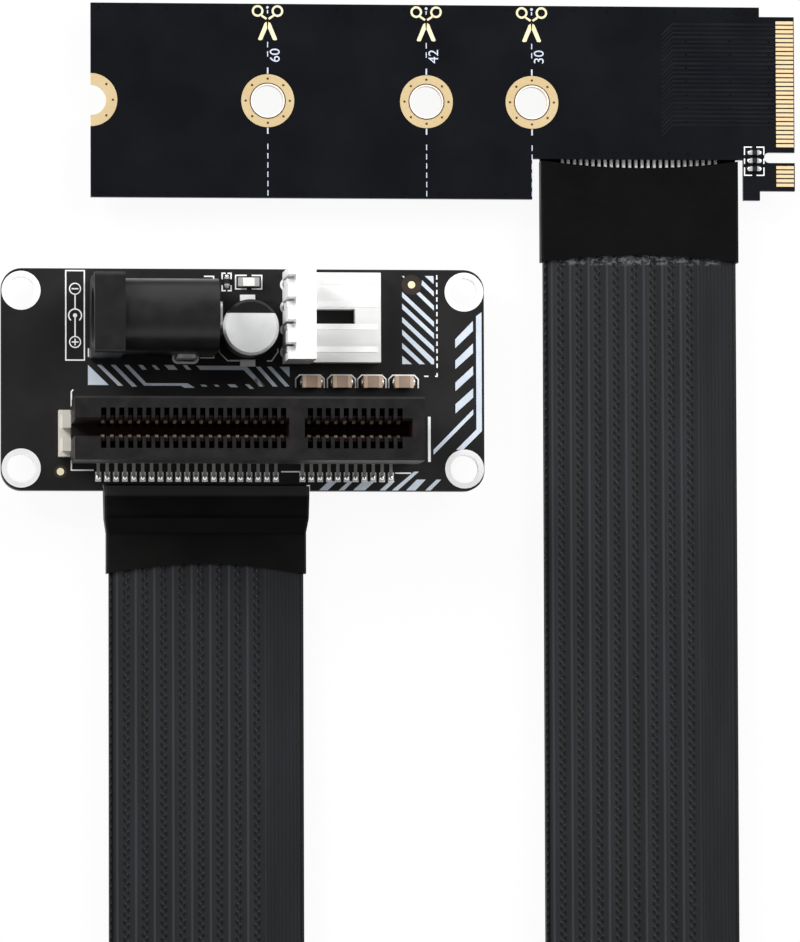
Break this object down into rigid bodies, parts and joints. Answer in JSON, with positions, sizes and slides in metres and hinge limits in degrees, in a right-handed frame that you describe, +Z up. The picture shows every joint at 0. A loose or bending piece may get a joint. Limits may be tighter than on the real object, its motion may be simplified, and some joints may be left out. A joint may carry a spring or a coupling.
{
  "type": "ribbon riser from a gumstick drive card edge to a card slot",
  "caption": "Riser: a long M key plug-in card joined by a flat double ribbon cable to a small board with an open-ended card slot, a round power jack and a white power header.",
  "frame": {"origin": "centre of the slot board's four screw holes, on the board's underside", "axes": "+X along the slot and the drive card towards the card's contact edge, +Y from the ribbon towards the drive card, +Z up out of the component faces of both boards"},
  "size_m": [0.0901, 0.1732, 0.022],
  "materials": {
    "slot_board_laminate": "satin solder mask",
    "card_laminate": "satin solder mask",
    "tin": "bright tinned",
    "gold": "gold plated",
    "contact_metal": "plated spring strip",
    "slot_plastic": "moulded",
    "jack_plastic": "moulded, soft gloss",
    "ivory_nylon": "moulded",
    "white_nylon": "moulded nylon",
    "can_aluminium": "bright drawn can",
    "light_lens": "clear resin",
    "ceramic_tan": "fired",
    "resistor_black": "coated",
    "shrink_film": "satin heat-shrink film",
    "wire_film": "varnished",
    "ribbon_jacket": "extruded, satin"
  },
  "bodies": {
    "root": {"board_resistor_body": "resistor_black", "board_resistor_ends": "tin", "board_sleeve": "shrink_film", "board_wires_lower": "wire_film", "board_wires_upper": "wire_film", "capacitor_base": "slot_plastic", "capacitor_can": "can_aluminium", "capacitor_tabs": "tin", "card_resistor_body_1": "resistor_black", "card_resistor_body_2": "resistor_black", "card_resistor_body_3": "resistor_black", "card_resistor_ends_1": "tin", "card_resistor_ends_2": "tin", "card_resistor_ends_3": "tin", "card_sleeve": "shrink_film", "card_wires_lower": "wire_film", "card_wires_upper": "wire_film", "ceramic_body_1": "ceramic_tan", "ceramic_body_2": "ceramic_tan", "ceramic_body_3": "ceramic_tan", "ceramic_body_4": "ceramic_tan", "ceramic_ends_1": "tin", "ceramic_ends_2": "tin", "ceramic_ends_3": "tin", "ceramic_ends_4": "tin", "drive_card": "card_laminate", "fingers_bottom": "gold", "fingers_top": "gold", "header_housing": "white_nylon", "header_pins": "tin", "inner_ribbon": "ribbon_jacket", "jack_centre_pin": "contact_metal", "jack_housing": "jack_plastic", "jack_rear_terminal": "tin", "jack_side_terminal": "tin", "jack_spring_terminal": "tin", "light_body": "light_lens", "light_ends": "tin", "outer_ribbon": "ribbon_jacket", "screw_eyelets": "tin", "screw_ring_30": "gold", "screw_ring_42": "gold", "screw_ring_60": "gold", "screw_ring_80": "gold", "slot_board": "slot_board_laminate", "slot_contacts_back": "contact_metal", "slot_contacts_front": "contact_metal", "slot_end_block": "ivory_nylon", "slot_housing": "slot_plastic"}
  },
  "joints": []
}
